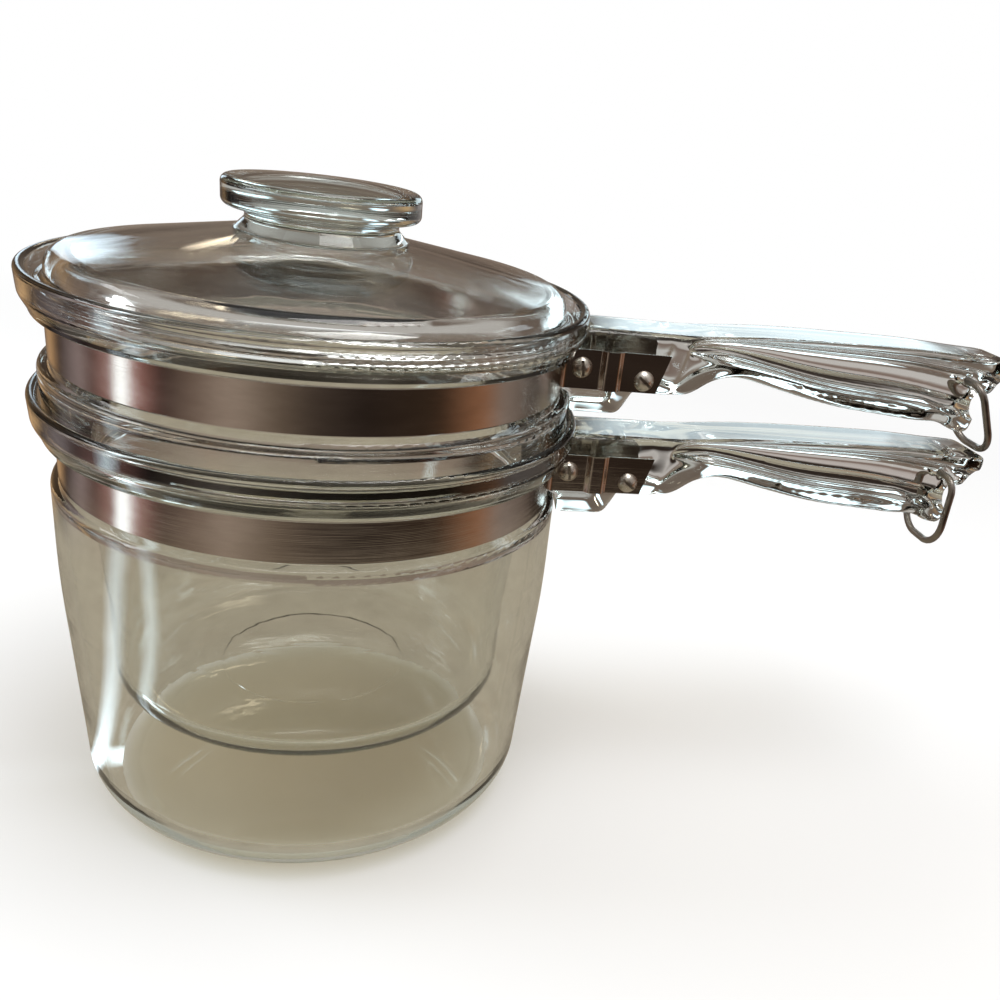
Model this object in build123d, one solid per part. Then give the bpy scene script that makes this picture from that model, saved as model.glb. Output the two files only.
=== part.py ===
from build123d import *
from math import acos, atan2, degrees, hypot, sqrt
import os

# Double boiler of pressed heat-proof glass, in millimetres. The origin is the centre of the lower
# pot's flat base, +Z is up, and +X runs out along the two handles, which lie one above the other.

# Mouth that both pots share, with heights counted from the lower edge of the strap round the neck
neck_radius = 75.2
neck_wall = 4.0
strap_height = 12.7
groove_margin = 0.5
bead_overhang = 4.4
bead_height = 1.6
bead_round = 0.7
flare_height = 3.6
flare_round = 3.0
rim_overhang = 7.3
rim_draft = 0.5
rim_height = 25.5
rim_land = 3.0
rim_round = 1.4
ledge_height = 18.0
ledge_width = 4.5
ledge_draft = 0.6
ledge_round = 0.9
throat_height = 12.5
throat_round = 3.0
rim_radius = neck_radius + rim_overhang

# Lower pot
lower_strap_level = 110.65
body_swell = 3.1
body_wall = 3.4
shoulder_drop = 1.6
shoulder_round = 2.2
taper_level = 78.0
taper_round = 300.0
foot_taper = 5.0
foot_round = 15.0
base_thickness = 5.0

# Upper pot, whose step stands on the ledge of the lower pot and whose bowl hangs inside it
seat_gap = 0.1
seat_clearance = 0.5
seat_rise = 17.35
step_slope_clearance = 1.2
upper_shoulder_swell = 0.6
upper_shoulder_depth = 6.0
bowl_wall = 3.2
bowl_depth = 91.8
bowl_waist_inset = 6.0
bowl_waist_height = 35.0
bowl_waist_round = 150.0
bowl_foot_taper = 0.7
bowl_foot_round = 11.0
bowl_base_thickness = 4.2
bowl_disc_radius = 31.0
bowl_disc_depth = 0.5

# Lid, which stands on the ledge of the upper pot
lid_clearance = 0.7
lid_flange_thickness = 3.4
lid_flange_round = 0.9
lid_wall = 4.0
lid_flange_width = 3.0
lid_side_height = 10.2
lid_shoulder_round = 5.0
lid_dome_rise = 9.4
lid_fillet = 1.4
knob_neck_radius = 22.3
knob_flare = 3.2
knob_neck_height = 6.6
knob_radius = 28.8
knob_thickness = 9.6
knob_edge_round = 2.2
knob_under_rise = 1.5
knob_under_round = 2.0
knob_crown = 2.0

# Strap, bent from one strip of sheet, with an ear on each side of the handle
strap_thickness = 0.8
strap_fit = 0.05
strap_bend = 2.4
ear_length = 35.4
ear_slant = 3.7
rib_centre_share = 0.45755
rib_width_share = 0.33019
rib_height = 1.5
rib_round = 1.0

# Handle of pressed glass, an I-beam behind a solid block
handle_half_width = 12.3
handle_reach = 239.6
handle_top = 19.3
handle_crest = 21.6
handle_nose_top = 20.2
block_drop = 0.5
border_width = 5.0
border_height = 0.7
saddle_gap = 0.3
foot_depth = 8.0
foot_length = 24.0
foot_corner = 4.0
grip_rise = 7.4
grip_end_drop = 7.0
rail_end_half_width = 10.6
flange_edge = 1.8
handle_edge_round = 1.2
web_half = 4.0
nose_round = 2.5
nose_plan_round = 5.0
ring_hole_radius = 3.0
ring_hole_inset = 12.4
ring_hole_height = 12.2

# Screws and nuts that draw the ears against the handle
screw_radius = 2.0
screw_fit = 0.1
screw_hole_clearance = 0.4
head_radius = 3.4
head_height = 2.4
slot_width = 0.9
slot_depth = 1.1
near_slot_turn = 8.0
far_slot_turn = 52.0
screw_tip = 1.2
near_screw_offset = 6.0
near_screw_height = 6.9
far_screw_inset = 8.2
far_screw_height = 3.9
nut_across_flats = 7.0
nut_thickness = 2.8

# Hanging ring of bent wire
wire_radius = 1.3
wire_rest_gap = 0.05
ring_half_width = 12.8
ring_length = 26.8
ring_shoulder_round = 5.5
ring_foot_round = 9.7
ring_butt_gap = 1.0
ring_lean_gap = 0.3

overrun = 5.0


def outline(corners):
    """Closed face in the XZ plane through corners given as (x, z, corner radius)."""
    points = [(x, 0, z) for x, z, _ in corners]
    return make_face(FilletPolyline(*points, radius=[r for _, _, r in corners], close=True))


def turned(corners):
    """Solid of revolution about Z from (radius, height, corner radius) points."""
    return revolve(outline(corners), Axis.Z)


def raised(corners, level):
    """The same corners lifted to a level."""
    return [(x, z + level, r) for x, z, r in corners]


def mouth_outside():
    """Outer corners of a pot's neck and rim, from the groove's foot up to the rim's top."""
    bead_radius = neck_radius + bead_overhang
    groove_top = strap_height + groove_margin
    bead_top = groove_top + bead_height
    return [
        (neck_radius, -groove_margin, groove_margin),
        (neck_radius, groove_top, groove_margin),
        (bead_radius, groove_top, bead_round),
        (bead_radius + rim_draft, bead_top, bead_round),
        (rim_radius - rim_draft, bead_top + flare_height, flare_round),
        (rim_radius, rim_height, rim_round),
    ]


def ledge_wall_radius():
    """Radius of the recess in the rim where it meets the ledge."""
    return rim_radius - rim_land - ledge_draft


def mouth_inside():
    """Inner corners of a pot's rim, ledge and neck, from the rim's top downwards."""
    return [
        (rim_radius - rim_land, rim_height, rim_round),
        (ledge_wall_radius(), ledge_height, ledge_round),
        (ledge_wall_radius() - ledge_width, ledge_height, ledge_round),
        (neck_radius - neck_wall, throat_height, throat_round),
    ]


def make_lower_pot():
    """Water pot: flat base, slightly tapering side, shoulder, neck and rim."""
    neck_inside = neck_radius - neck_wall
    body_radius = neck_radius + body_swell
    body_inside = body_radius - body_wall
    foot_radius = body_radius - foot_taper
    shoulder_level = lower_strap_level - groove_margin - shoulder_drop
    outside = [
        (0, 0, 0),
        (foot_radius, 0, foot_round),
        (body_radius, taper_level, taper_round),
        (body_radius, shoulder_level, shoulder_round),
    ]
    inside = [
        (neck_inside, shoulder_level, shoulder_round),
        (body_inside, shoulder_level - body_wall, shoulder_round),
        (body_inside, taper_level, taper_round),
        (foot_radius - body_wall, base_thickness, foot_round - body_wall),
        (0, base_thickness, 0),
    ]
    mouth = raised(mouth_outside() + mouth_inside(), lower_strap_level)
    return turned(outside + mouth + inside)


def seat_level():
    """Height of the upper pot's step, just above the lower pot's ledge."""
    return lower_strap_level + ledge_height + seat_gap


def upper_strap_level():
    """Height of the lower edge of the upper pot's strap."""
    return seat_level() + seat_rise


def step_radius():
    """Radius of the upper pot's step, which sits loosely inside the lower pot's rim."""
    return ledge_wall_radius() - seat_clearance


def upper_shoulder_radius():
    """Largest radius of the upper pot below its neck."""
    return step_radius() + upper_shoulder_swell


def make_upper_pot():
    """Food pot: bowl that hangs in the lower pot, step, bulging shoulder, neck and rim."""
    slope_top_radius = ledge_wall_radius() - ledge_width - step_slope_clearance
    bowl_mouth_radius = neck_radius - neck_wall - step_slope_clearance
    slope_foot = seat_level() - (ledge_height - throat_height)
    shoulder_level = upper_strap_level() - groove_margin - shoulder_drop
    bulge_level = upper_strap_level() - upper_shoulder_depth
    floor = seat_level() - bowl_depth
    inner_floor = floor + bowl_base_thickness
    waist = floor + bowl_waist_height
    waist_radius = neck_radius - neck_wall - bowl_waist_inset
    foot_radius = waist_radius - bowl_foot_taper
    outside = [
        (0, floor, 0),
        (foot_radius, floor, bowl_foot_round),
        (waist_radius, waist, bowl_waist_round),
        (bowl_mouth_radius, slope_foot, throat_round),
        (slope_top_radius, seat_level(), ledge_round),
        (step_radius(), seat_level(), ledge_round),
        (upper_shoulder_radius(), bulge_level, shoulder_round),
        (upper_shoulder_radius(), shoulder_level, shoulder_round),
    ]
    inside = [
        (neck_radius - neck_wall, shoulder_level, shoulder_round),
        (upper_shoulder_radius() - neck_wall, shoulder_level - neck_wall, shoulder_round),
        (step_radius() - neck_wall, seat_level() + neck_wall, shoulder_round),
        (bowl_mouth_radius - bowl_wall, slope_foot, throat_round),
        (waist_radius - bowl_wall, waist, bowl_waist_round),
        (foot_radius - bowl_wall, inner_floor, bowl_foot_round - bowl_wall),
        (0, inner_floor, 0),
    ]
    mouth = raised(mouth_outside() + mouth_inside(), upper_strap_level())
    pot = turned(outside + mouth + inside)
    disc = extrude(Pos(0, 0, floor) * Circle(bowl_disc_radius), amount=bowl_disc_depth)
    return pot - disc


def make_lid():
    """Domed lid with its seating flange and its flat round knob, all one pressing."""
    seat = upper_strap_level() + ledge_height + seat_gap
    flange_radius = ledge_wall_radius() - lid_clearance
    side_radius = flange_radius - lid_flange_width
    flange_top = seat + lid_flange_thickness
    side_top = seat + lid_side_height
    inside_radius = side_radius - lid_wall
    dome_top = side_top + lid_dome_rise
    disc_foot = dome_top + knob_neck_height
    disc_top = disc_foot + knob_thickness
    corners = [
        (inside_radius, seat, lid_flange_round),
        (flange_radius, seat, lid_flange_round),
        (flange_radius, flange_top, lid_flange_round),
        (side_radius, flange_top, lid_fillet),
        (side_radius, side_top, lid_shoulder_round),
        (knob_neck_radius + knob_flare, dome_top, lid_fillet),
        (knob_neck_radius, dome_top + knob_flare, lid_fillet),
        (knob_neck_radius, disc_foot - knob_under_rise, lid_fillet),
        (knob_radius, disc_foot, knob_under_round),
        (knob_radius, disc_top - knob_crown, knob_edge_round),
        (0, disc_top, 0),
        (0, dome_top - lid_wall, 0),
        (knob_neck_radius, dome_top - lid_wall, lid_wall),
        (inside_radius, side_top - lid_wall, lid_shoulder_round),
    ]
    return turned(corners)


def strap_line():
    """Centre line of the strap seen from above: an ear, the ring round the neck, the other ear.

    The rib's place and width are shares of the way from one screw to the other.
    """
    ring_radius = neck_radius + strap_fit + strap_thickness / 2
    ear_y = handle_half_width + strap_fit + strap_thickness / 2
    bend_x = sqrt((ring_radius + strap_bend) ** 2 - (ear_y + strap_bend) ** 2)
    bend_angle = degrees(atan2(ear_y + strap_bend, bend_x))
    near, far = screw_places()
    rib_width = rib_width_share * (far[0] - near[0])
    rib_x = near[0] + rib_centre_share * (far[0] - near[0])
    ear = [
        (bend_x, ear_y),
        (rib_x - rib_width / 2, ear_y),
        (rib_x - rib_width / 2 + rib_height, ear_y + rib_height),
        (rib_x + rib_width / 2 - rib_height, ear_y + rib_height),
        (rib_x + rib_width / 2, ear_y),
        (neck_radius + ear_length, ear_y),
    ]
    ring = CenterArc((0, 0), ring_radius, bend_angle, 360 - 2 * bend_angle)
    bend = CenterArc((bend_x, ear_y + strap_bend), strap_bend, bend_angle + 180, 90 - bend_angle)
    side = Curve() + [bend, FilletPolyline(*ear, radius=rib_round)]
    return ring, side


def make_strap():
    """Stainless strap with ribbed ears whose ends are cut at a slant."""
    ring, side = strap_line()
    strip = trace(ring, line_width=strap_thickness) + trace(side, line_width=strap_thickness)
    strip += mirror(trace(side, line_width=strap_thickness), Plane.XZ)
    strap = extrude(strip, amount=strap_height)
    ear_end = neck_radius + ear_length
    slant = outline([
        (ear_end, strap_height, 0),
        (ear_end + overrun, strap_height + overrun, 0),
        (ear_end + overrun, -overrun, 0),
        (ear_end - ear_slant * (strap_height + overrun) / strap_height, -overrun, 0),
    ])
    strap -= extrude(slant, amount=2 * handle_half_width, both=True)
    for x, z in screw_places():
        strap -= cross_pin(x, z, screw_radius + screw_fit, 2 * handle_half_width)
    return strap


def screw_places():
    """Place of the screw near the pot and of the one at the ears' end, as (x, height)."""
    near = (neck_radius + near_screw_offset, near_screw_height)
    far = (neck_radius + ear_length - far_screw_inset, far_screw_height)
    return [near, far]


def cross_pin(x, z, radius, half_length):
    """Cylinder across the handle, along Y."""
    return Pos(x, 0, z) * Rot(90, 0, 0) * Cylinder(radius, 2 * half_length)


def grip_start():
    """Distance from the pots' axis to where the block ends and the grip starts."""
    return neck_radius + ear_length + border_width


def grip_x(share):
    """Distance along the grip as a share of its length."""
    return grip_start() + share * (handle_reach - grip_start())


# Lines of the grip, each point as shares: along the grip's length and, in height, of the rise of the
# arch under its root for the underside, of the drop at its end for the lobe, of the crest for the top
underside_shares = [
    (0.075, 0.54),
    (0.14, 0.92),
    (0.22, 0.76),
    (0.36, 0.24),
    (0.50, -0.14),
    (0.62, -0.31),
    (0.76, -0.47),
    (0.82, -0.60),
]
lobe_shares = [(0.85, 0.87), (0.90, 1.0)]
topside_shares = [(0.94, 0.942), (0.75, 0.990), (0.50, 1.0), (0.20, 0.958)]
nose_start_share = 0.75


def handle_side():
    """Outline of the handle seen from the side: block, underside of the grip, nose and top."""
    start = neck_radius - neck_wall
    foot_x = neck_radius + foot_length
    nose_foot = ring_hole_height - 2 * ring_hole_radius
    root = (grip_start() - block_drop, 0, -block_drop)
    top = (grip_start(), 0, handle_top)
    under = [(grip_x(along), 0, up * grip_rise) for along, up in underside_shares]
    over = [(grip_x(along), 0, up * handle_crest) for along, up in topside_shares]
    block = FilletPolyline(
        top,
        (start, 0, handle_top),
        (start, 0, -foot_depth),
        (foot_x - foot_corner, 0, -foot_depth),
        (foot_x, 0, -block_drop),
        root,
        radius=[0, 0, foot_corner, block_drop],
    )
    nose = FilletPolyline(
        under[-1],
        *[(grip_x(along), 0, -down * grip_end_drop) for along, down in lobe_shares],
        (handle_reach - nose_start_share * ring_hole_inset, 0, nose_foot),
        (handle_reach - nose_round, 0, nose_foot),
        (handle_reach, 0, ring_hole_height),
        (handle_reach, 0, handle_nose_top),
        over[0],
        radius=nose_round,
    )
    grip_under = Spline(root, *under, tangents=[block % 1, nose % 0])
    grip_over = Spline(*over, top, tangents=[nose % 1, block % 0])
    return make_face([block, grip_under, nose, grip_over])


def handle_plan():
    """Body seen from above: full width at the top, drawn in along the rail, rounded at the nose."""
    def plan(level, end_half):
        points = [
            (0, -handle_half_width),
            (grip_start(), -handle_half_width),
            (handle_reach, -end_half),
            (handle_reach, end_half),
            (grip_start(), handle_half_width),
            (0, handle_half_width),
        ]
        radii = [0, 0, nose_plan_round, nose_plan_round, 0, 0]
        return Pos(0, 0, level) * make_face(FilletPolyline(*points, radius=radii, close=True))
    top = plan(handle_crest + overrun, handle_half_width)
    bottom = plan(-foot_depth - overrun, rail_end_half_width)
    return loft([bottom, top], ruled=True)


def recess_section(top, bottom, half):
    """One D-shaped slice of the side recess, in a plane through its mouth's top and bottom points."""
    (top_x, top_z), (bottom_x, bottom_z) = top, bottom
    height = hypot(top_x - bottom_x, top_z - bottom_z)
    plane = Plane(
        origin=(bottom_x, 0, bottom_z),
        x_dir=(0, -1, 0),
        z_dir=(bottom_z - top_z, 0, top_x - bottom_x),
    )
    draft = draft_share * height
    cove = cove_share * height
    mouth = handle_half_width + overrun
    points = [(mouth, 0), (half, draft), (half, height - draft), (mouth, height)]
    radii = [0, cove, cove, 0]
    return plane * make_face(FilletPolyline(*points, radius=radii, close=True))


# Shares of a slice's height for the slope of its top and bottom and for the coves in its corners
draft_share = 0.1
cove_share = 0.35

# Stations of the recess, each as shares: along the grip and of the crest height for the top of its
# mouth, the same for the bottom, and the web left inside it as a share of the web's half thickness
recess_shares = [
    (0.040, 0.84, 0.000, 0.62, 2.30),
    (0.085, 0.87, 0.055, 0.60, 1.70),
    (0.160, 0.89, 0.140, 0.55, 1.25),
    (0.260, 0.90, 0.250, 0.44, 1.03),
    (0.390, 0.91, 0.390, 0.28, 1.00),
    (0.550, 0.91, 0.550, 0.17, 1.00),
    (0.710, 0.88, 0.710, 0.08, 1.10),
    (0.860, 0.80, 0.860, -0.06, 1.35),
    (1.100, 0.70, 1.100, -0.18, 1.50),
]


def make_recess():
    """Cutter for the recess on the side of the handle that faces -Y."""
    sections = []
    for top_along, top_up, bottom_along, bottom_up, half in recess_shares:
        top = (grip_x(top_along), top_up * handle_crest)
        bottom = (grip_x(bottom_along), bottom_up * handle_crest)
        sections.append(recess_section(top, bottom, half * web_half))
    return loft(sections)


def make_border():
    """Raised border round the ear on the side that faces -Y, with the foot below it."""
    start = neck_radius - neck_wall
    foot_x = neck_radius + foot_length
    ear_end = neck_radius + ear_length
    slant = ear_slant / strap_height
    shape = outline([
        (start, -foot_depth, 0),
        (foot_x - foot_corner, -foot_depth, foot_corner),
        (foot_x, -block_drop, 0),
        (ear_end + border_width - slant * strap_height, -block_drop, block_drop),
        (ear_end + border_width + slant * border_width, handle_top - flange_edge, border_height),
        (start, handle_top - flange_edge, 0),
    ])
    shape -= outline([
        (start - overrun, -groove_margin, 0),
        (ear_end - ear_slant + groove_margin, -groove_margin, 0),
        (ear_end + groove_margin, strap_height + groove_margin, 0),
        (start - overrun, strap_height + groove_margin, 0),
    ])
    return extrude(shape, amount=handle_half_width + border_height, both=True)


def make_handle():
    """Glass handle: block, foot, grip with side recesses, nose and cross hole."""
    body = extrude(handle_side(), amount=handle_half_width, both=True)
    flanks = body.faces().sort_by(Axis.Y)
    body = fillet(flanks[0].edges() + flanks[-1].edges(), handle_edge_round) & handle_plan()
    recess = make_recess()
    body -= recess
    body -= mirror(recess, Plane.XZ)
    body += make_border()
    saddle = [(x + saddle_gap, z, r) for x, z, r in mouth_outside()]
    shoulder = upper_shoulder_radius() + saddle_gap
    below = -foot_depth - overrun
    above = rim_height + overrun
    body -= turned(
        [(0, below, 0), (shoulder, below, 0), (shoulder, -groove_margin - shoulder_drop, 0)]
        + saddle
        + [(rim_radius + saddle_gap, above, 0), (0, above, 0)]
    )
    for x, z in screw_places():
        body -= cross_pin(x, z, screw_radius + screw_hole_clearance, 2 * handle_half_width)
    eye_x = handle_reach - ring_hole_inset
    body -= cross_pin(eye_x, ring_hole_height, ring_hole_radius, 2 * handle_half_width)
    return body


def make_screw(place, slot_turn):
    """Slotted round-head screw across the ears, head on the -Y side, its slot turned from upright."""
    head_seat = handle_half_width + strap_fit + strap_thickness
    length = 2 * head_seat + nut_thickness + screw_tip
    dome_radius = (head_radius ** 2 + head_height ** 2) / (2 * head_height)
    dome = Pos(0, 0, head_height - dome_radius) * Sphere(dome_radius)
    head = dome & Cylinder(head_radius, head_height, align=(Align.CENTER, Align.CENTER, Align.MIN))
    shank = Cylinder(screw_radius, length, align=(Align.CENTER, Align.CENTER, Align.MAX))
    slot = Pos(0, 0, head_height) * Rot(0, 0, slot_turn) * Box(slot_width, 2 * head_radius, 2 * slot_depth)
    x, z = place
    return Pos(x, -head_seat, z) * Rot(90, 0, 0) * (head + shank - slot)


def make_nut(place):
    """Hexagon nut on the +Y ear."""
    nut_seat = handle_half_width + strap_fit + strap_thickness
    hexagon = RegularPolygon(nut_across_flats / 2, 6, major_radius=False)
    nut = extrude(hexagon - Circle(screw_radius + screw_fit / 2), amount=nut_thickness)
    x, z = place
    return Pos(x, nut_seat, z) * Rot(-90, 0, 0) * nut


def wire_height():
    """Height of the wire's axis as it rests in the bottom of the cross hole."""
    return ring_hole_height - (ring_hole_radius - wire_radius - wire_rest_gap)


def make_ring(lean):
    """Wire ring through the cross hole, hanging plumb or swung outwards by an angle in degrees."""
    path = FilletPolyline(
        (0, -ring_butt_gap / 2, 0),
        (0, -ring_half_width, 0),
        (0, -ring_half_width, -ring_length),
        (0, ring_half_width, -ring_length),
        (0, ring_half_width, 0),
        (0, ring_butt_gap / 2, 0),
        radius=[ring_shoulder_round, ring_foot_round, ring_foot_round, ring_shoulder_round],
    )
    section = Plane(origin=path @ 0, z_dir=path % 0) * Circle(wire_radius)
    ring = sweep(section, path=path)
    return Pos(handle_reach - ring_hole_inset, 0, wire_height()) * Rot(0, -lean, 0) * ring


def ring_lean():
    """Angle at which the upper ring comes to rest against the rounded nose of the lower handle."""
    across = ring_hole_inset - nose_round
    down = upper_strap_level() - lower_strap_level + wire_height() - (handle_nose_top - nose_round)
    reach = hypot(across, down)
    contact = nose_round + wire_radius + ring_lean_gap
    spread = acos((ring_length ** 2 + reach ** 2 - contact ** 2) / (2 * ring_length * reach))
    return degrees(atan2(across, down) + spread)


def make_set(name, level, lean):
    """Strap, handle, fasteners and ring of one pot, lifted to the strap's level."""
    near, far = screw_places()
    parts = {
        "strap": make_strap(),
        "handle": make_handle(),
        "clamp_screw": make_screw(near, near_slot_turn),
        "clamp_nut": make_nut(near),
        "handle_screw": make_screw(far, far_slot_turn),
        "handle_nut": make_nut(far),
        "hang_ring": make_ring(lean),
    }
    return {name + "_" + key: Pos(0, 0, level) * solid for key, solid in parts.items()}


nodes = {"lower_pot": make_lower_pot(), "upper_pot": make_upper_pot(), "lid": make_lid()}
nodes.update(make_set("lower", lower_strap_level, 0))
nodes.update(make_set("upper", upper_strap_level(), ring_lean()))

os.makedirs("parts", exist_ok=True)
for node, solid in nodes.items():
    export_step(solid, "parts/" + node + ".step")
print("upper strap level", round(upper_strap_level(), 3), "ring lean", round(ring_lean(), 2))
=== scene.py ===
import bpy
import numpy as np
from math import cos, pi, radians, sin
from mathutils import Matrix, Vector


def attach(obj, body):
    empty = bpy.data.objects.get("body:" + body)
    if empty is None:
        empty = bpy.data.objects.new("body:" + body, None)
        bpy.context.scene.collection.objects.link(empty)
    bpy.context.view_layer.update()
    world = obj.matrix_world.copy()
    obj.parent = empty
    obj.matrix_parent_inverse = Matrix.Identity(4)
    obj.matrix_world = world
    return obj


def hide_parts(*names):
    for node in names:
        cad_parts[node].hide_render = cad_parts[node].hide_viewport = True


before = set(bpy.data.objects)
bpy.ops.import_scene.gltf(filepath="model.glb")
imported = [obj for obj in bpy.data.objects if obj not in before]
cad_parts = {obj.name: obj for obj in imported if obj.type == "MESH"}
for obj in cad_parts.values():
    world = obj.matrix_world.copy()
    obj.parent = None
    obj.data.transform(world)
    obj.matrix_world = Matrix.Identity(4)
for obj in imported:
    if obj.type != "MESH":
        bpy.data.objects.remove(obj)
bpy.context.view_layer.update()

# Camera of the photograph, in metres and degrees, with its principal point in pixels of 1000
camera_place = (0.00654, -0.31986, 0.22795)
camera_yaw = 15.36
camera_pitch = 24.45
camera_roll = 8.20
picture_size = 1000
focal_pixels = 995.14
principal_point = (582.88, 564.55)
sensor_width = 36.0
clip_start = 0.01

# Surround painted with reflections and highlights that show only in glass and metal, in metres, with
# directions in degrees round Z
surround_inner = 0.0665
surround_radius = 1.15
surround_bend = 0.12
surround_height = 1.05
skylight_radius = 0.42
surround_lift = 0.0008
profile_points = 16
surround_facets = 120

# Painted reflections on the surround by direction round the pot, seen only in glass and metal: degrees and
# colour
painted_reflection_bands = (
    (-180, (0.36, 0.20, 0.18)),
    (-165, (0.50, 0.25, 0.22)),
    (-152, (0.06, 0.04, 0.035)),
    (-138, (0.22, 0.165, 0.135)),
    (-122, (0.46, 0.39, 0.33)),
    (-106, (0.20, 0.16, 0.125)),
    (-92, (0.08, 0.062, 0.05)),
    (-72, (0.03, 0.022, 0.018)),
    (-38, (0.05, 0.032, 0.02)),
    (-16, (0.40, 0.20, 0.11)),
    (-4, (0.34, 0.29, 0.26)),
    (20, (0.15, 0.12, 0.10)),
    (80, (0.24, 0.18, 0.14)),
    (100, (0.30, 0.24, 0.19)),
    (118, (0.18, 0.13, 0.10)),
    (130, (0.58, 0.36, 0.18)),
    (146, (0.06, 0.045, 0.04)),
    (162, (0.34, 0.28, 0.28)),
    (172, (0.16, 0.10, 0.09)),
    (180, (0.36, 0.20, 0.18)),
)
band_wander = 0.006

# Painted reflection rings on the surround's floor ring beside the handles, seen only in their glass: radius
# and colour
grip_side = 46
grip_side_half = 24
grip_side_reflection_rings = (
    (0.27, (0.36, 0.31, 0.25)),
    (0.30, (0.02, 0.013, 0.01)),
    (0.40, (0.03, 0.02, 0.015)),
    (0.46, (0.52, 0.46, 0.43)),
    (0.58, (0.48, 0.42, 0.39)),
    (0.68, (0.20, 0.14, 0.115)),
    (0.80, (0.26, 0.20, 0.17)),
    (0.95, (0.55, 0.51, 0.48)),
)

# Painted reflections seen in the glass: mottled tan close to the pot, brown up the wall and grey at the
# ceiling, with where each begins and ends
painted_near_dark = (0.27, 0.23, 0.17, 1)
painted_near_light = (0.52, 0.455, 0.345, 1)
near_end = (0.24, 0.31)
wall_brown = (0.13, 0.095, 0.075, 1)
wall_brown_rise = (0.10, 0.55)
wall_brown_share = 0.75
ceiling_grey = (0.46, 0.43, 0.40, 1)
ceiling_grey_start = 0.8

# Painted highlights on the surround, glowing patches that show only in glass and metal: direction, half
# width, lower edge, upper edge and colour
edge_blur = 0.005
height_blur = 0.03
painted_highlights = (
    (112, 3.0, 0.24, 0.50, (1.9, 2.3, 2.6)),
    (60, 12, 0.26, 0.56, (2.0, 2.4, 2.55)),
    (-174, 7, 0.20, 0.62, (3.0, 3.4, 3.6)),
    (8, 6, 0.22, 0.62, (2.8, 3.2, 3.4)),
    (101, 3.0, 0.575, 0.60, (9.0, 7.6, 5.6)),
    (-118, 5.0, 0.76, 0.80, (9.0, 8.0, 6.4)),
    (-171, 4.0, -0.10, 0.02, (2.4, 2.8, 3.0)),
)

# Floor, with the distances at which it starts to pale and is white, and the level of the studio's air
floor_half = 6.0
floor_grey = (0.86, 0.86, 0.86, 1)
floor_fade = (0.35, 0.9)
air_level = 0.55
lamp_aim = (0.0, 0.0, 0.11)

# Glass, with the share of the lamps' light that it lets through, and the softening of the handles
glass_index = 1.474
glass_polish = 0.012
glass_relief = 0.001
lamp_tint = (0.83, 0.79, 0.725, 1)
weld_distance = 0.00001
handle_grid = 0.0005
handle_polish = 50
handle_pull = 0.5

# Metal, with its relief in metres
metal_relief = 0.0001
metal_relief_share = 0.35


def make_camera():
    """Camera from its yaw towards +X, its pitch downwards and its roll about the line of sight."""
    yaw, pitch, roll = (radians(a) for a in (camera_yaw, camera_pitch, camera_roll))
    forward = Vector((sin(yaw) * cos(pitch), cos(yaw) * cos(pitch), -sin(pitch)))
    level = Vector((cos(yaw), -sin(yaw), 0))
    upright = level.cross(forward)
    right = cos(roll) * level + sin(roll) * upright
    up = cos(roll) * upright - sin(roll) * level
    data = bpy.data.cameras.new("photo_camera")
    data.sensor_width = sensor_width
    data.lens = sensor_width * focal_pixels / picture_size
    data.shift_x = 0.5 - principal_point[0] / picture_size
    data.shift_y = principal_point[1] / picture_size - 0.5
    data.clip_start = clip_start
    camera = bpy.data.objects.new("photo_camera", data)
    turn = Matrix((right, up, -forward)).transposed().to_4x4()
    camera.matrix_world = Matrix.Translation(camera_place) @ turn
    bpy.context.scene.collection.objects.link(camera)
    bpy.context.scene.camera = camera


class Shader:
    """Short way to add nodes to a tree and join their sockets."""

    def __init__(self, tree):
        self.tree = tree
        self.nodes = tree.nodes
        self.links = tree.links

    def add(self, kind, **settings):
        node = self.nodes.new(kind)
        for name, value in settings.items():
            setattr(node, name, value)
        return node

    def join(self, source, target):
        self.links.new(source, target)

    def feed(self, node, socket, value):
        if isinstance(value, bpy.types.NodeSocket):
            self.links.new(value, node.inputs[socket])
        else:
            node.inputs[socket].default_value = value

    def maths(self, operation, first, second=0.0, third=0.0):
        node = self.add("ShaderNodeMath", operation=operation)
        for index, value in enumerate((first, second, third)):
            self.feed(node, index, value)
        return node.outputs[0]

    def noise(self, vector, scale, detail, roughness, distortion=0.0):
        node = self.add("ShaderNodeTexNoise")
        self.feed(node, "Vector", vector)
        node.inputs["Scale"].default_value = scale
        node.inputs["Detail"].default_value = detail
        node.inputs["Roughness"].default_value = roughness
        node.inputs["Distortion"].default_value = distortion
        return node.outputs["Fac"]

    def stretched(self, vector, scale):
        node = self.add("ShaderNodeMapping")
        self.feed(node, "Vector", vector)
        node.inputs["Scale"].default_value = scale
        return node.outputs["Vector"]

    def ramp(self, factor, stops):
        node = self.add("ShaderNodeValToRGB")
        self.feed(node, "Fac", factor)
        band = node.color_ramp
        while len(band.elements) < len(stops):
            band.elements.new(0.5)
        for element, (position, colour) in zip(band.elements, stops):
            element.position = position
            element.color = colour
        return node.outputs["Color"]

    def span(self, value, low, high, to_low=0.0, to_high=1.0):
        node = self.add("ShaderNodeMapRange")
        for name, amount in (("Value", value), ("From Min", low), ("From Max", high),
                             ("To Min", to_low), ("To Max", to_high)):
            self.feed(node, name, amount)
        return node.outputs["Result"]

    def mixed(self, factor, first, second):
        node = self.add("ShaderNodeMix", data_type="RGBA")
        self.feed(node, 0, factor)
        self.feed(node, 6, first)
        self.feed(node, 7, second)
        return node.outputs[2]

    def seen_directly(self):
        """One for rays from the camera and for those that glass and metal send on, else none."""
        path = self.add("ShaderNodeLightPath")
        seen = self.maths("MAXIMUM", path.outputs["Is Camera Ray"], path.outputs["Is Glossy Ray"])
        return self.maths("MAXIMUM", seen, path.outputs["Is Transmission Ray"])


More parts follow.
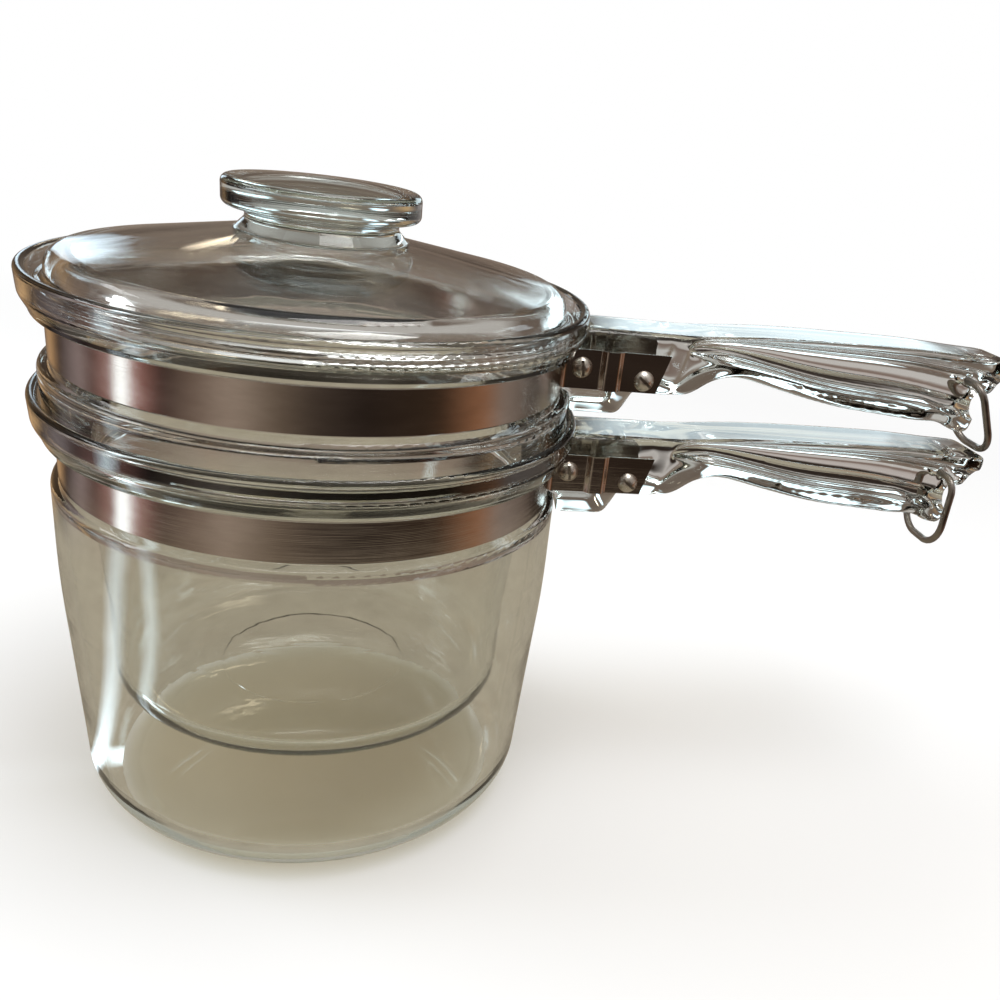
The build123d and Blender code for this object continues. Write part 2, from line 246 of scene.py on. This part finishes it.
def new_material(name):
    """Material with a Principled shader, its tree helper and its output node."""
    material = bpy.data.materials.new(name)
    material.use_nodes = True
    shader = Shader(material.node_tree)
    surface = shader.nodes["Principled BSDF"]
    output = shader.nodes["Material Output"]
    place = shader.add("ShaderNodeTexCoord").outputs["Object"]
    return material, shader, surface, output, place


def new_group(name, inputs, outputs):
    """Shader node group with named float or vector inputs and outputs."""
    group = bpy.data.node_groups.new(name, "ShaderNodeTree")
    for label, kind, value in inputs:
        socket = group.interface.new_socket(label, in_out="INPUT", socket_type=kind)
        if value is not None:
            socket.default_value = value
    for label, kind in outputs:
        group.interface.new_socket(label, in_out="OUTPUT", socket_type=kind)
    shader = Shader(group)
    return group, shader, shader.add("NodeGroupInput"), shader.add("NodeGroupOutput")


def make_pressed_group():
    """Pressed glass: slow waves left by the mould, short chill ripples, and a film of wiped-on smears."""
    group, shader, given, result = new_group(
        "pressed_surface",
        [("Vector", "NodeSocketVector", None), ("Wave", "NodeSocketFloat", 0.5),
         ("Ripple", "NodeSocketFloat", 0.2), ("Film", "NodeSocketFloat", 0.05)],
        [("Height", "NodeSocketFloat"), ("Roughness", "NodeSocketFloat")],
    )
    place = given.outputs["Vector"]
    wave = shader.noise(place, scale=30.0, detail=1.0, roughness=0.4)
    chilled = shader.stretched(place, (90.0, 90.0, 260.0))
    ripple = shader.noise(chilled, scale=1.0, detail=1.5, roughness=0.5)
    height = shader.maths("MULTIPLY", wave, given.outputs["Wave"])
    height = shader.maths("MULTIPLY_ADD", ripple, given.outputs["Ripple"], height)
    wiped = shader.stretched(place, (22.0, 34.0, 30.0))
    smear = shader.noise(wiped, scale=1.0, detail=6.0, roughness=0.66, distortion=1.4)
    smear = shader.span(smear, low=0.5, high=0.78)
    rough = shader.maths("MULTIPLY_ADD", smear, given.outputs["Film"], glass_polish)
    shader.join(height, result.inputs["Height"])
    shader.join(rough, result.inputs["Roughness"])
    return group


def make_glass(name, pressed, tint, wave, ripple, film, edge, density):
    """Clear glass that turns blue-green along its thick edges and lets part of the lamps' light through."""
    material, shader, surface, output, place = new_material(name)
    surface.inputs["Base Color"].default_value = tint
    surface.inputs["Metallic"].default_value = 0.0
    surface.inputs["Transmission Weight"].default_value = 1.0
    surface.inputs["IOR"].default_value = glass_index
    life = shader.add("ShaderNodeGroup", node_tree=pressed)
    shader.join(place, life.inputs["Vector"])
    life.inputs["Wave"].default_value = wave
    life.inputs["Ripple"].default_value = ripple
    life.inputs["Film"].default_value = film
    bump = shader.add("ShaderNodeBump")
    bump.inputs["Strength"].default_value = 1.0
    bump.inputs["Distance"].default_value = glass_relief
    shader.join(life.outputs["Height"], bump.inputs["Height"])
    shader.join(bump.outputs["Normal"], surface.inputs["Normal"])
    shader.join(life.outputs["Roughness"], surface.inputs["Roughness"])
    clear = shader.add("ShaderNodeBsdfTransparent")
    clear.inputs["Color"].default_value = lamp_tint
    path = shader.add("ShaderNodeLightPath")
    lamp_ray = shader.maths("MAXIMUM", path.outputs["Is Shadow Ray"], path.outputs["Is Diffuse Ray"])
    blend = shader.add("ShaderNodeMixShader")
    shader.join(lamp_ray, blend.inputs["Fac"])
    shader.join(surface.outputs["BSDF"], blend.inputs[1])
    shader.join(clear.outputs["BSDF"], blend.inputs[2])
    shader.join(blend.outputs["Shader"], output.inputs["Surface"])
    body = shader.add("ShaderNodeVolumeAbsorption")
    body.inputs["Color"].default_value = edge
    body.inputs["Density"].default_value = density
    shader.join(body.outputs["Volume"], output.inputs["Volume"])
    return material


def make_grain_group():
    """Brushed grain: fine lines along the strip with slow changes of lustre."""
    group, shader, given, result = new_group(
        "brushed_grain",
        [("Vector", "NodeSocketVector", None), ("Depth", "NodeSocketFloat", 1.0)],
        [("Height", "NodeSocketFloat"), ("Lustre", "NodeSocketFloat")],
    )
    along = shader.stretched(given.outputs["Vector"], (14.0, 14.0, 4200.0))
    lines = shader.noise(along, scale=1.0, detail=4.0, roughness=0.6)
    height = shader.maths("MULTIPLY", lines, given.outputs["Depth"])
    broad = shader.stretched(given.outputs["Vector"], (30.0, 30.0, 90.0))
    lustre = shader.noise(broad, scale=1.0, detail=4.0, roughness=0.6)
    shader.join(height, result.inputs["Height"])
    shader.join(lustre, result.inputs["Lustre"])
    return group


def make_metal(name, grain, colour, dark, rough_low, rough_high, depth, anisotropy):
    """Metal with a grain that breaks up its lustre."""
    material, shader, surface, _, place = new_material(name)
    life = shader.add("ShaderNodeGroup", node_tree=grain)
    shader.join(place, life.inputs["Vector"])
    life.inputs["Depth"].default_value = depth
    worn = shader.span(life.outputs["Lustre"], low=0.35, high=0.7)
    shader.join(shader.mixed(worn, dark, colour), surface.inputs["Base Color"])
    surface.inputs["Metallic"].default_value = 1.0
    rough = shader.span(life.outputs["Lustre"], low=0.3, high=0.7, to_low=rough_low, to_high=rough_high)
    shader.join(rough, surface.inputs["Roughness"])
    surface.inputs["Anisotropic"].default_value = anisotropy
    bump = shader.add("ShaderNodeBump")
    bump.inputs["Strength"].default_value = metal_relief_share
    bump.inputs["Distance"].default_value = metal_relief
    shader.join(life.outputs["Height"], bump.inputs["Height"])
    shader.join(bump.outputs["Normal"], surface.inputs["Normal"])
    return material


def soften_handle(name, body, material):
    """Fire-polished copy of a handle: its solid on an even grid, each point then drawn towards the mean
    of its neighbours until the pressed edges are round."""
    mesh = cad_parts[name].data.copy()
    piece = bpy.data.objects.new(name + "_glass", mesh)
    bpy.context.scene.collection.objects.link(piece)
    welded = piece.modifiers.new("welded", "WELD")
    welded.merge_threshold = weld_distance
    grid = piece.modifiers.new("grid", "REMESH")
    grid.mode = "VOXEL"
    grid.voxel_size = handle_grid
    grid.use_smooth_shade = True
    polish = piece.modifiers.new("polish", "SMOOTH")
    polish.factor = handle_pull
    polish.iterations = handle_polish
    view = bpy.context.evaluated_depsgraph_get()
    piece.data = bpy.data.meshes.new_from_object(piece.evaluated_get(view))
    piece.modifiers.clear()
    piece.data.materials.clear()
    piece.data.materials.append(material)
    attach(piece, body)
    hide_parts(name)


def dress(material, *names):
    """Gives CAD nodes their finish."""
    for name in names:
        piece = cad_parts[name]
        piece.data.materials.clear()
        piece.data.materials.append(material)


def make_floor():
    """Pale floor that runs out into white away from the pot."""
    material, shader, surface, output, place = new_material("pale_floor")
    surface.inputs["Base Color"].default_value = floor_grey
    surface.inputs["Roughness"].default_value = 0.7
    surface.inputs["Specular IOR Level"].default_value = 0.1
    distance = shader.add("ShaderNodeVectorMath", operation="LENGTH")
    shader.join(place, distance.inputs[0])
    far = shader.span(distance.outputs["Value"], *floor_fade)
    glow = shader.add("ShaderNodeEmission")
    blend = shader.add("ShaderNodeMixShader")
    shader.join(shader.maths("MULTIPLY", far, shader.seen_directly()), blend.inputs["Fac"])
    shader.join(surface.outputs["BSDF"], blend.inputs[1])
    shader.join(glow.outputs["Emission"], blend.inputs[2])
    shader.join(blend.outputs["Shader"], output.inputs["Surface"])
    corners = [(x * floor_half, y * floor_half, 0) for x, y in ((-1, -1), (1, -1), (1, 1), (-1, 1))]
    mesh = bpy.data.meshes.new("floor")
    mesh.from_pydata(corners, [], [(0, 1, 2, 3)])
    floor = bpy.data.objects.new("floor", mesh)
    floor.data.materials.append(material)
    bpy.context.scene.collection.objects.link(floor)


def make_world():
    """Even studio air: white to the eye and to glass and metal, at a plain level as light."""
    world = bpy.data.worlds.new("studio")
    world.use_nodes = True
    bpy.context.scene.world = world
    shader = Shader(world.node_tree)
    background = shader.nodes["Background"]
    level = shader.span(shader.seen_directly(), low=0.0, high=1.0, to_low=air_level, to_high=1.0)
    shader.join(level, background.inputs["Strength"])
    background.inputs["Color"].default_value = (1, 1, 1, 1)


def hide_from_eye(piece):
    """Leaves a piece painted with reflections to show in glass and metal alone."""
    piece.visible_camera = False
    piece.visible_diffuse = False
    piece.visible_shadow = False
    bpy.context.scene.collection.objects.link(piece)


def make_surround():
    """Shell round the set that carries painted reflections and highlights, seen only in glass and metal: a
    flat ring, a quarter turn, a wall and a ceiling with a round skylight.

    Its profile runs along s from 0 to 1 in each part. The ring grows outwards from its inner radius,
    the quarter turn has its own radius, the wall rises straight and the ceiling runs back to the
    skylight. Each profile point is turned about Z.
    """
    s = np.linspace(0.0, 1.0, profile_points)
    turn = s * pi / 2
    flat = np.full(s.size, 1.0)
    radius = np.concatenate((
        surround_inner + s * (surround_radius - surround_bend - surround_inner),
        surround_radius - surround_bend + surround_bend * np.sin(turn),
        surround_radius * flat,
        surround_radius + s * (skylight_radius - surround_radius),
    ))
    height = np.concatenate((
        surround_lift * flat,
        surround_lift + surround_bend * (1 - np.cos(turn)),
        surround_lift + surround_bend + s * (surround_height - surround_bend),
        surround_lift + surround_height * flat,
    ))
    angle = np.linspace(0, 2 * pi, surround_facets + 1)[:-1]
    x = radius[:, None] * np.cos(angle)
    y = radius[:, None] * np.sin(angle)
    z = np.repeat(height[:, None], angle.size, axis=1)
    points = np.stack((x, y, z), axis=-1).reshape(-1, 3)
    rows = np.arange(radius.size - 1)[:, None] * angle.size
    near = np.arange(angle.size)[None, :]
    far = (near + 1) % angle.size
    quads = np.stack((rows + near, rows + near + angle.size, rows + far + angle.size, rows + far), axis=-1)
    mesh = bpy.data.meshes.new("surround")
    mesh.from_pydata(points.tolist(), [], quads.reshape(-1, 4).tolist())
    mesh.materials.append(make_surround_reflection_paint())
    hide_from_eye(bpy.data.objects.new("surround", mesh))


def make_patch_group():
    """Mask of a soft-edged patch between two heights, about a direction given as a share of a turn."""
    group, shader, given, result = new_group(
        "soft_patch",
        [("Turn", "NodeSocketFloat", 0.0), ("Height", "NodeSocketFloat", 0.0),
         ("Centre", "NodeSocketFloat", 0.0), ("Half", "NodeSocketFloat", 0.1),
         ("Low", "NodeSocketFloat", 0.0), ("High", "NodeSocketFloat", 1.0)],
        [("Mask", "NodeSocketFloat")],
    )
    away = shader.maths("SUBTRACT", given.outputs["Turn"], given.outputs["Centre"])
    away = shader.maths("ABSOLUTE", shader.maths("WRAP", away, 0.5, -0.5))
    past = shader.maths("SUBTRACT", given.outputs["Half"], away)
    across = shader.span(past, low=-edge_blur, high=edge_blur)
    above = shader.maths("SUBTRACT", given.outputs["Height"], given.outputs["Low"])
    below = shader.maths("SUBTRACT", given.outputs["High"], given.outputs["Height"])
    upright = shader.span(shader.maths("MINIMUM", above, below), low=-height_blur, high=height_blur)
    shader.join(shader.maths("MULTIPLY", across, upright), result.inputs["Mask"])
    return group


def turn_share(direction):
    """Direction in degrees from -180 to 180 as a share of a turn."""
    return (direction + 180) / 360


def make_surround_reflection_paint():
    """Painted reflections and highlights: bands by direction round the pot, rings on the handles' side,
    plain tan close to the pot, glowing highlight patches.
    """
    material = bpy.data.materials.new("surround_reflection_paint")
    material.use_nodes = True
    shader = Shader(material.node_tree)
    shader.nodes.remove(shader.nodes["Principled BSDF"])
    place = shader.add("ShaderNodeTexCoord").outputs["Object"]
    parts = shader.add("ShaderNodeSeparateXYZ")
    shader.join(place, parts.inputs["Vector"])
    height = parts.outputs["Z"]
    flat = shader.add("ShaderNodeVectorMath", operation="MULTIPLY")
    shader.join(place, flat.inputs[0])
    flat.inputs[1].default_value = (1, 1, 0)
    length = shader.add("ShaderNodeVectorMath", operation="LENGTH")
    shader.join(flat.outputs["Vector"], length.inputs[0])
    distance = length.outputs["Value"]
    angle = shader.maths("ARCTAN2", parts.outputs["Y"], parts.outputs["X"])
    mottle = shader.noise(place, scale=5.0, detail=4.0, roughness=0.55)
    wander = shader.span(mottle, low=0.3, high=0.7, to_low=-band_wander, to_high=band_wander)
    turn = shader.maths("ADD", shader.maths("MULTIPLY_ADD", angle, 0.5 / pi, 0.5), wander)
    # Painted reflections: bands of colour by direction, mirrored in glass and metal
    bands = [(turn_share(direction), (*colour, 1)) for direction, colour in painted_reflection_bands]
    paint = shader.ramp(turn, bands)
    reflected_rings = shader.ramp(distance, [(radius, (*colour, 1)) for radius, colour in grip_side_reflection_rings])
    # Soft patch mask for the painted highlights and for the painted rings beside the handles
    window = make_patch_group()

    def soft_patch(direction, half, low, high):
        mask = shader.add("ShaderNodeGroup", node_tree=window)
        shader.join(turn, mask.inputs["Turn"])
        shader.join(height, mask.inputs["Height"])
        mask.inputs["Centre"].default_value = turn_share(direction)
        mask.inputs["Half"].default_value = half / 360
        mask.inputs["Low"].default_value = low
        mask.inputs["High"].default_value = high
        return mask.outputs["Mask"]

    # Painted reflection rings beside the handles, mirrored and refracted by the handle glass
    beside_grip = soft_patch(grip_side, grip_side_half, -surround_bend, surround_bend)
    paint = shader.mixed(beside_grip, paint, reflected_rings)
    # Painted tan seen through the glass close to the pot, then painted brown and grey reflections higher up
    tan = shader.mixed(shader.noise(place, scale=60.0, detail=5.0, roughness=0.7), painted_near_dark, painted_near_light)
    paint = shader.mixed(shader.span(distance, *near_end, to_low=1.0, to_high=0.0), paint, tan)
    paint = shader.mixed(shader.span(height, *wall_brown_rise, to_high=wall_brown_share), paint, wall_brown)
    paint = shader.mixed(shader.span(height, ceiling_grey_start, surround_height), paint, ceiling_grey)
    # Painted highlights: glowing patches, brighter than white, that glass and metal mirror
    for direction, half, low, high, colour in painted_highlights:
        paint = shader.mixed(soft_patch(direction, half, low, high), paint, (*colour, 1))
    # The painted reflections glow as emission, though the surround is no lamp
    glow = shader.add("ShaderNodeEmission")
    shader.join(paint, glow.inputs["Color"])
    shader.join(glow.outputs["Emission"], shader.nodes["Material Output"].inputs["Surface"])
    return material


def make_lamp(name, place, width, height, watts, colour):
    """Rectangular soft light aimed at the middle of the pots."""
    data = bpy.data.lights.new(name, "AREA")
    data.shape = "RECTANGLE"
    data.size = width
    data.size_y = height
    data.energy = watts
    data.color = colour
    lamp = bpy.data.objects.new(name, data)
    lamp.location = place
    lamp.rotation_euler = (Vector(lamp_aim) - Vector(place)).to_track_quat("-Z", "Y").to_euler()
    bpy.context.scene.collection.objects.link(lamp)


make_camera()
make_world()
make_floor()

make_lamp("window", place=(-1.1, 0.35, 0.9), width=0.7, height=0.9, watts=9.0, colour=(0.93, 0.97, 1.0))
make_lamp("ceiling", place=(0.3, -0.2, 1.5), width=0.8, height=0.8, watts=12.0, colour=(1.0, 0.985, 0.97))
make_lamp("fill", place=(1.3, -0.9, 0.7), width=0.6, height=0.6, watts=5.0, colour=(1.0, 0.98, 0.96))

make_surround()

pressed = make_pressed_group()
pot_glass = make_glass(
    "clear_glass", pressed, tint=(0.988, 0.982, 0.970, 1),
    wave=0.12, ripple=0.014, film=0.05, edge=(0.56, 0.86, 0.84, 1), density=12.0)
lid_glass = make_glass(
    "lid_glass", pressed, tint=(0.972, 0.966, 0.950, 1),
    wave=0.14, ripple=0.018, film=0.22, edge=(0.50, 0.86, 0.86, 1), density=6.0)
handle_glass = make_glass(
    "handle_glass", pressed, tint=(0.972, 0.968, 0.955, 1),
    wave=0.30, ripple=0.012, film=0.04, edge=(0.50, 0.86, 0.88, 1), density=7.0)

grain = make_grain_group()
strap_steel = make_metal(
    "brushed_strap", grain, colour=(0.64, 0.58, 0.53, 1), dark=(0.50, 0.44, 0.39, 1),
    rough_low=0.08, rough_high=0.16, depth=1.0, anisotropy=0.4)
nickel = make_metal(
    "dull_nickel", grain, colour=(0.66, 0.63, 0.58, 1), dark=(0.45, 0.41, 0.36, 1),
    rough_low=0.18, rough_high=0.34, depth=0.6, anisotropy=0.0)
wire_steel = make_metal(
    "dark_wire", grain, colour=(0.36, 0.33, 0.30, 1), dark=(0.18, 0.16, 0.15, 1),
    rough_low=0.22, rough_high=0.4, depth=0.6, anisotropy=0.0)

dress(pot_glass, "lower_pot", "upper_pot")
dress(lid_glass, "lid")
soften_handle("lower_handle", "lower_pot_body", handle_glass)
soften_handle("upper_handle", "upper_pot_body", handle_glass)
dress(strap_steel, "lower_strap", "upper_strap")
dress(nickel, "lower_clamp_screw", "lower_clamp_nut", "lower_handle_screw", "lower_handle_nut",
      "upper_clamp_screw", "upper_clamp_nut", "upper_handle_screw", "upper_handle_nut")
dress(wire_steel, "lower_hang_ring", "upper_hang_ring")

bpy.context.scene.view_settings.view_transform = "Standard"
